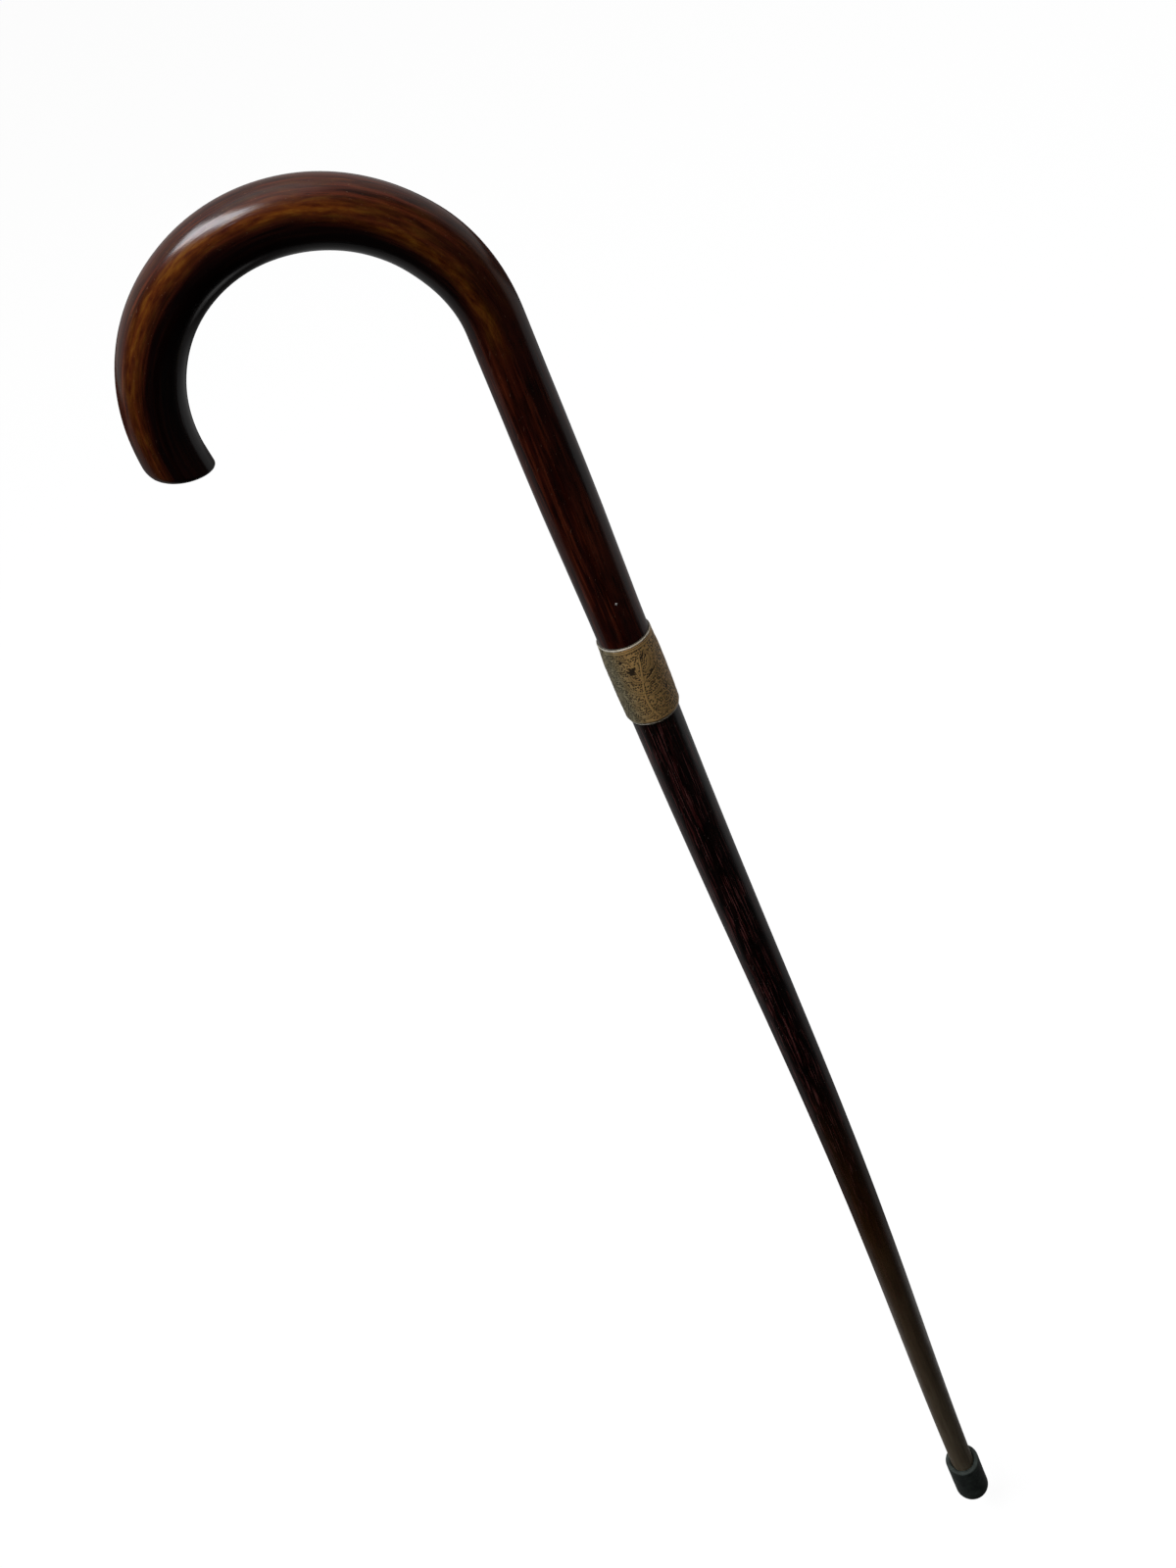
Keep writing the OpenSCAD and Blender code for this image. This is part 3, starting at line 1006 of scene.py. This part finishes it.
        shades = [
            ([(-3.6, 6.6), (-3.0, 7.8), (-1.8, 8.6), (-1.1, 9.8)], 0.95),
            ([(-4.6, 8.0), (-3.8, 8.2), (-2.2, 7.8), (-0.8, 7.0)], 0.45),
            ([(-3.5, 10.0), (-3.0, 9.0), (-2.2, 7.6), (-1.9, 6.0)], 0.40),
            ([(-4.4, 3.2), (-4.0, 4.0), (-3.4, 4.4), (-2.8, 5.4)], 0.5),
            ([(2.2, 3.0), (3.4, 3.8), (5.0, 4.9), (6.2, 5.6)], 0.38),
            ([(1.4, 10.6), (2.6, 12.4), (3.8, 13.4), (5.0, 13.9)], 0.28),
            ([(3.6, 11.0), (5.4, 13.4), (6.4, 13.2), (6.4, 10.4)], 0.30),
            ([(-6.6, 12.0), (-6.0, 12.6), (-5.6, 13.0), (-5.0, 13.4)], 0.5),
            ([(8.0, -6.2), (8.4, -5.6), (8.8, -5.2), (9.2, -4.6)], 0.4),
            ([(-0.8, -13.2), (-0.5, -12.4), (-0.3, -11.8), (-0.2, -11.0)], 0.3),
        ]
        strokes = []
        for line, width in stems:
            strokes.append(Stroke(line, width * np.linspace(1.0, 0.55, len(line)), Cut.STEM))
        for kind, shapes in ((Cut.LEAF, leaves), (Cut.SHADE, shades)):
            for control, width in shapes:
                t = np.linspace(0, 1, 40)
                swell = np.sin(math.pi * t ** 0.8) ** 0.8
                strokes.append(Stroke(curve(control), width * np.clip(swell, 0.08, 1), kind))
        return strokes

    def dashes(self, across: np.ndarray, up: np.ndarray) -> np.ndarray:
        """Short punched dashes, scattered and turned every way, as a value from 0 to 1.

        The sines give each cell of the grid its own fixed shifts, turn and absence.
        """
        row = np.floor(up / self.dash_pitch)
        shifted = across / self.dash_pitch + 0.5 * (row % 2)
        column = np.floor(shifted)
        chance = [np.modf(np.abs(np.sin(column * a + row * b)) * 43758.5)[0]
                  for a, b in ((12.99, 78.23), (39.35, 11.14), (73.16, 52.24), (9.15, 27.17))]
        u = shifted - column - 0.5 - 0.5 * (chance[0] - 0.5)
        v = up / self.dash_pitch - row - 0.5 - 0.5 * (chance[1] - 0.5)
        turn = math.pi * chance[2]
        long = (u * np.cos(turn) + v * np.sin(turn)) / self.dash_half[0]
        short = (v * np.cos(turn) - u * np.sin(turn)) / self.dash_half[1]
        return np.clip(self.dash_full - np.hypot(long, short), 0, 1) * (chance[3] > self.dash_gaps)

    def relief(self, across: np.ndarray, up: np.ndarray) -> tuple[np.ndarray, np.ndarray]:
        """Depth of the engraving at places on the unrolled band.

        Args:
            across: distance round the band from its front, in mm.
            up: height above the band's middle, in mm.

        Returns:
            The depth in mm, and how dark the place is from 0 to 1.
        """
        repeat = math.tau * self.outer_r / self.repeats
        across = (across + repeat / 2) % repeat - repeat / 2
        strokes = self.motif()
        line = np.concatenate([s.points for s in strokes])
        width = np.concatenate([s.half_widths for s in strokes])
        mark = np.concatenate([np.full(len(s.points), s.cut.value) for s in strokes])
        run = np.concatenate(
            [np.arange(len(s.points)) * np.linalg.norm(s.points[1] - s.points[0]) for s in strokes])
        edge, nearest, off = np.empty(len(up)), np.empty(len(up), int), np.empty(len(up))
        batch = 2000
        for start in range(0, len(up), batch):
            part = slice(start, start + batch)
            gap = np.hypot(across[part, None] - line[None, :, 0], up[part, None] - line[None, :, 1])
            beyond = gap - width[None, :]
            pick = beyond.argmin(1)
            rows = np.arange(len(pick))
            nearest[part], edge[part], off[part] = pick, beyond[rows, pick], gap[rows, pick]
        kind, inside = mark[nearest], edge < 0
        # A graver's line is stronger in some places than in others.
        broken = 0.62 + 0.38 * np.sin(1.9 * across + 1.1 * up) * np.sin(1.3 * up - 2.3 * across)
        outline = broken * np.exp(-((edge - self.outline_at) / self.outline_w) ** 2)
        dots = self.dashes(across, up)
        wave = (run[nearest] + 0.8 * off) / self.hatch
        hatching = np.clip(2.6 * np.cos(math.tau * wave) - 1.4, 0, 1)
        grooves = np.clip(2.2 * np.cos(math.tau * off / self.groove_pitch) - 1.2, 0, 1)
        vein = np.exp(-((off / self.vein_w) ** 2))
        cut = np.maximum(self.ground_depth + self.dash_depth * dots, self.outline_depth * outline)
        dark = np.maximum(self.ground_dark + self.dash_dark * dots, self.outline_dark * outline)
        leaf = inside & (kind == Cut.LEAF.value)
        stem = inside & (kind == Cut.STEM.value)
        cut = np.where(inside, self.inner_depth * outline, cut)
        dark = np.where(inside, self.inner_dark * outline, dark)
        trunk = stem & (width[nearest] > self.trunk_from)
        dark = np.where(trunk, np.maximum(dark, self.groove_dark * grooves), dark)
        cut = np.where(leaf, np.maximum(cut, self.leaf_depth * np.maximum(hatching, vein)), cut)
        lines = np.maximum(self.hatch_dark * hatching, self.vein_dark * vein)
        dark = np.where(leaf, np.maximum(dark, lines), dark)
        shade = inside & (kind == Cut.SHADE.value)
        cut = np.where(shade, self.shade_depth, cut)
        dark = np.where(shade, self.shade_dark, dark)
        field = (self.band_top - self.band_z) / 2 - self.border_w
        border = np.clip((np.abs(up) - field) / self.border_fade, 0, 1)
        return cut * (1 - border), dark * (1 - border)

    def engraved(self, bm: Shape) -> None:
        """Cuts pattern, border lines and nick into the band's outer face, and draws it in."""
        layer = bm.verts.layers.float.new("recess")
        face = [v for v in bm.verts if math.hypot(v.co.x, v.co.y) > (self.outer_r - 0.01) * MM]
        co = np.array([v.co for v in face]) / MM
        angle = np.degrees(np.arctan2(co[:, 0], -co[:, 1]))
        across = np.radians(angle - self.front) * self.outer_r
        middle = (self.band_top + self.band_z) / 2
        up = co[:, 2] - middle
        depth, dark = self.relief(across, up)
        for line_z in (self.band_top - self.line_pitch / 2, self.band_z + self.roll_r + self.line_pitch):
            for i in range(2):
                cut = np.exp(-(((co[:, 2] - line_z + i * self.line_pitch) / (self.line_w / 2)) ** 4))
                depth = np.maximum(depth, self.line_depth * cut)
                dark = np.maximum(dark, self.line_dark * cut)
        drop = (self.band_top - co[:, 2]) / self.nick_height
        aside = np.abs(np.radians(angle - self.nick_angle) * self.outer_r) / (self.nick_width / 2)
        nick = np.clip(1.2 * (1 - drop - aside), 0, 1)
        depth = np.maximum(depth, self.nick_depth * nick)
        dark = np.maximum(dark, np.clip(3 * nick, 0, 1))
        for vert, cut, shade in zip(face, depth, dark):
            keep = 1 - cut / self.outer_r
            vert.co.x *= keep
            vert.co.y *= keep
            vert[layer] = shade
        for vert in bm.verts:
            reach = math.hypot(vert.co.x, vert.co.y) / MM
            if reach > self.bore_r + 0.05:
                vert.co.x *= 1 - self.drawn_in(vert.co.z / MM) / reach
                vert.co.y *= 1 - self.drawn_in(vert.co.z / MM) / reach

    def drawn_in(self, z: float) -> float:
        """How far the band's outer face is drawn in towards the wood at a height, in mm."""
        top = self.top_draw * ease((z - self.top_draw_from) / (self.band_top - self.top_draw_from))
        foot = self.foot_draw * ease((self.foot_draw_from - z) / (self.foot_draw_from - self.band_z))
        return top + foot

    def build(self) -> None:
        """Builds the band, the rim ring and the edge wire."""
        silver = TarnishedSilver().material()
        # The rim and the edge wire are rubbed paler than the band by the hand and the wood.
        pale = ("#fff2dd", "#dccbaa", "#efe9da", "#beb49c")
        rubbed = TarnishedSilver("rubbed_nickel_silver", *pale).material()
        band = turned(self.outline(), self.steps, closed=True)
        self.engraved(band)
        band_piece = finished("collar_band_engraved", band, silver, crease=60.0)
        stand_for(band_piece, Body.CANE, "collar_metal", "collar_band")
        rim = turned(self.rim_outline(), self.ring_steps, closed=True)
        layer = rim.verts.layers.float.new("recess")
        for vert in rim.verts:
            away = abs(math.hypot(vert.co.x, vert.co.y) / MM - self.top_line_r)
            on_top = vert.co.z > (self.band_top + self.rim_h / 2) * MM
            vert[layer] = self.top_line_dark if on_top and away < self.top_line_w / 2 + 0.01 else 0.0
        stand_for(finished("collar_rim_ring", rim, rubbed), Body.CANE, "collar_metal", "collar_rim")
        wire_r = self.wire_d / 2
        section = arc((self.mouth_r + wire_r, self.bottom_z + wire_r), wire_r, 0, 360, 20)[:-1]
        wire = turned(section, self.ring_steps, closed=True)
        stand_for(finished("collar_edge_wire", wire, rubbed), Body.CANE, "collar_metal", "collar_bead")


@dataclass
class Ferrule:
    """The rubber cup on the stick's end, a little worn out of round, and its washer."""

    height: float = 35.0
    outer_r: float = 10.14
    socket_r: float = 6.54
    sole_t: float = 8.0
    sole_round: float = 3.0
    lip_round: float = 1.0
    mouth_flare: float = 0.9
    mouth_depth: float = 2.5
    mouth_edge: Point = (0.4, 0.3)
    wear: float = 0.15
    wear_len: float = 9.0
    unworn_wall: float = 1.6
    unworn_sole: float = 0.5
    groove_w: float = 1.3
    groove_depth: float = 0.8
    groove_round: float = 0.15
    steps: int = 120

    def outline(self) -> list[Point]:
        """The cup's half outline, from the sole's middle round to the socket's bottom."""
        points = [(0.0, 0.0)]
        for i in range(2):
            start = self.groove_w * (2 + 2 * i)
            end = start + self.groove_w
            points += [
                (start - self.groove_round, 0.0), (start, self.groove_round), (start, self.groove_depth),
                (end, self.groove_depth), (end, self.groove_round), (end + self.groove_round, 0.0),
            ]
        lip_z = self.height - self.lip_round
        mouth_r = self.socket_r + self.mouth_flare
        points += arc((self.outer_r - self.sole_round, self.sole_round), self.sole_round, -90, 0, 12)
        points += [(self.outer_r, z) for z in spread(self.sole_round, lip_z, 1.0)[1:]]
        points += arc((self.outer_r - self.lip_round, lip_z), self.lip_round, 0, 90, 8)[1:]
        points += [
            (mouth_r + self.mouth_edge[0], self.height), (mouth_r, self.height - self.mouth_edge[1]),
            (self.socket_r, self.height - self.mouth_depth), (self.socket_r, self.sole_t), (0.0, self.sole_t),
        ]
        return points

    def build(self) -> None:
        """Turns the cup, wears it and dresses the washer."""
        bm = turned(self.outline(), self.steps)
        for vert in bm.verts:
            reach = math.hypot(vert.co.x, vert.co.y)
            if reach < (self.socket_r + self.unworn_wall) * MM or vert.co.z < self.unworn_sole * MM:
                continue
            wear = self.wear * MM * (0.5 + 0.5 * noise.noise(vert.co / (self.wear_len * MM)))
            vert.co.x *= 1 - wear / reach
            vert.co.y *= 1 - wear / reach
        piece = finished("rubber_ferrule_worn", bm, WornRubber().material())
        stand_for(piece, Body.FERRULE, "rubber", "rubber_ferrule")
        dress_node("ferrule_washer", bpy.data.materials["turned_steel"])


@dataclass
class Studio:
    """White floor, one long soft box, dim surroundings and the camera.

    The cane hangs from the hand, and the floor is below it by the ferrule's travel, so that
    the ferrule can be pulled off.
    """

    lens: float = 38.05
    camera_at: tuple[float, float, float] = (0.0198, -0.5222, 1.0303)
    camera_azimuth: float = 6.07
    camera_down: float = 37.45
    camera_roll: float = -24.68
    floor_half: float = 15.0
    floor_drop: float = 0.0305
    aim: tuple[float, float, float] = (-0.05, 0.0, 0.8)
    softbox_way: tuple[float, float, float] = (-0.365, -0.25, 0.895)
    softbox_distance: float = 3.5
    softbox_size: Point = (2.6, 0.95)
    softbox_radiance: float = 11.5
    softbox_colour: str = "#f6f9ff"
    # A step names what it goes by, the two values of that it runs between, and its own at each.
    room: tuple[Step, ...] = (
        ("Y", -0.15, 0.40, 0.03, 0.36), ("Z", 0.60, 0.90, 0.0, 0.18), ("Z", 0.86, 0.97, 0.0, 0.55),
    )
    bounce: tuple[Step, ...] = (
        ("Y", -0.15, 0.10, 0.02, 0.24), ("Y", 2.4, 1.5, 0.12, 1.0), ("X", -1.2, -0.2, 0.6, 1.0),
        ("reach", 0.35, 1.0, 0.5, 1.0), ("aside", 0.10, 0.35, 0.2, 1.0),
    )
    close_behind: tuple[Step, ...] = (("Y", -0.03, 0.10, 0.0, 1.0), ("reach", 0.24, 0.05, 0.0, 0.95))
    aside_from: float = -0.05
    paper: str = "#f2f2f0"
    camera_glow: float = 1.08
    glow_share: float = 0.86

    def camera(self) -> None:
        """Places the camera at the photograph's viewing angle."""
        data = bpy.data.cameras.new("camera")
        data.lens = self.lens
        data.sensor_width = 36.0
        data.clip_start = 0.01
        data.clip_end = 100.0
        camera = bpy.data.objects.new("camera", data)
        bpy.context.scene.collection.objects.link(camera)
        turn = Matrix.Rotation(math.radians(self.camera_azimuth), 4, "Z")
        tilt = Matrix.Rotation(math.radians(90 - self.camera_down), 4, "X")
        roll = Matrix.Rotation(math.radians(self.camera_roll), 4, "Z")
        camera.matrix_world = Matrix.Translation(self.camera_at) @ turn @ tilt @ roll
        bpy.context.scene.camera = camera

    def softbox(self) -> None:
        """Hangs the soft rectangular lamp that faces the cane."""
        data = bpy.data.lights.new("softbox", "AREA")
        data.shape = "RECTANGLE"
        data.size, data.size_y = self.softbox_size
        data.energy = self.softbox_radiance * math.pi * data.size * data.size_y
        data.color = linear(self.softbox_colour)[:3]
        lamp = bpy.data.objects.new("softbox", data)
        bpy.context.scene.collection.objects.link(lamp)
        way = Vector(self.softbox_way).normalized()
        lamp.location = Vector(self.aim) + way * self.softbox_distance
        lamp.rotation_euler = way.to_track_quat("Z", "Y").to_euler()

    @staticmethod
    def stepped(tree: Tree, sources: dict[str, Socket], steps: Sequence[Step], operation: str) -> Socket:
        """Smooth steps of several sources, put together by one operation.

        Args:
            tree: the node tree.
            sources: the socket of each source by its name.
            steps: the steps.
            operation: the math operation that joins each step to the ones before it.

        Returns:
            The socket of the whole.
        """
        whole = None
        for source, low, high, at_low, at_high in steps:
            part = add(
                tree, "MapRange",
                {"interpolation_type": "SMOOTHSTEP", "From Min": low, "From Max": high,
                 "To Min": at_low, "To Max": at_high},
                {"Value": sources[source]},
            )
            if whole is not None:
                part = add(tree, "Math", {"operation": operation}, {0: whole, 1: part})
            whole = part
        return whole

    def world(self) -> None:
        """White to the camera, and a room that is dim in front and pale behind to the cane.

        The dark front keeps the polished wood deep, and the pale back draws the grey lines
        along both of its edges.
        """
        world = bpy.data.worlds.new("studio")
        world.use_nodes = True
        tree = world.node_tree
        tree.nodes.clear()
        way = add(tree, "TexCoord", out="Generated")
        sources = {axis: add(tree, "SeparateXYZ", links={"Vector": way}, out=axis) for axis in "YZ"}
        room = self.stepped(tree, sources, self.room, "ADD")
        camera_ray = add(tree, "LightPath", out="Is Camera Ray")
        through_ray = add(tree, "LightPath", out="Is Transmission Ray")
        seen = add(tree, "Math", {"operation": "MAXIMUM"}, {0: camera_ray, 1: through_ray})
        level = add(tree, "Mix", {"data_type": "FLOAT", 3: 1.0}, {0: seen, 2: room})
        light = add(tree, "Background", {"Color": (1, 1, 1, 1)}, {"Strength": level})
        add(tree, "OutputWorld", links={"Surface": light})
        bpy.context.scene.world = world

    def floor(self) -> None:
        """Lays the white floor, which keeps a faint shadow and lights the cane unevenly."""
        material, tree = blank_material("matt_white_paper")
        place = add(tree, "TexCoord", out="Object")
        sources = {axis: add(tree, "SeparateXYZ", links={"Vector": place}, out=axis) for axis in "XY"}
        sources["reach"] = add(tree, "VectorMath", {"operation": "LENGTH"}, {0: place}, "Value")
        offset = add(tree, "Math", {"operation": "SUBTRACT", 1: self.aside_from}, {0: sources["X"]})
        sources["aside"] = add(tree, "Math", {"operation": "ABSOLUTE"}, {0: offset})
        bounce, close = [
            self.stepped(tree, sources, steps, "MULTIPLY") for steps in (self.bounce, self.close_behind)
        ]
        bounce = add(tree, "Math", {"operation": "ADD"}, {0: bounce, 1: close})
        camera_ray = add(tree, "LightPath", out="Is Camera Ray")
        strength = add(
            tree, "Mix", {"data_type": "FLOAT", 3: self.camera_glow}, {0: camera_ray, 2: bounce})
        glow = add(tree, "Emission", {"Color": (1, 1, 1, 1)}, {"Strength": strength})
        paper = add(tree, "BsdfDiffuse", {"Color": linear(self.paper)})
        share = add(tree, "MapRange", {"To Min": 1.0, "To Max": self.glow_share}, {"Value": camera_ray})
        mixed = add(tree, "MixShader", links={0: share, 1: paper, 2: glow})
        add(tree, "OutputMaterial", links={"Surface": mixed})
        bm = bmesh.new()
        bmesh.ops.create_grid(bm, x_segments=8, y_segments=8, size=self.floor_half,
                              matrix=Matrix.Translation((0, 0, -self.floor_drop)))
        finished("floor", bm, material)

    def build(self) -> None:
        """Builds the whole studio."""
        self.floor()
        self.world()
        self.camera()
        self.softbox()
        bpy.context.scene.view_settings.view_transform = "Standard"


def main() -> None:
    """Builds the cane from the handle down, then the studio round it."""
    logging.basicConfig(level=logging.INFO, format="%(name)s: %(message)s")
    joint = Joint()
    joint.build()
    CrookHandle(joint).build()
    Collar().build()
    Stick(joint).build()
    Ferrule().build()
    Studio().build()


if __name__ == "__main__":
    main()
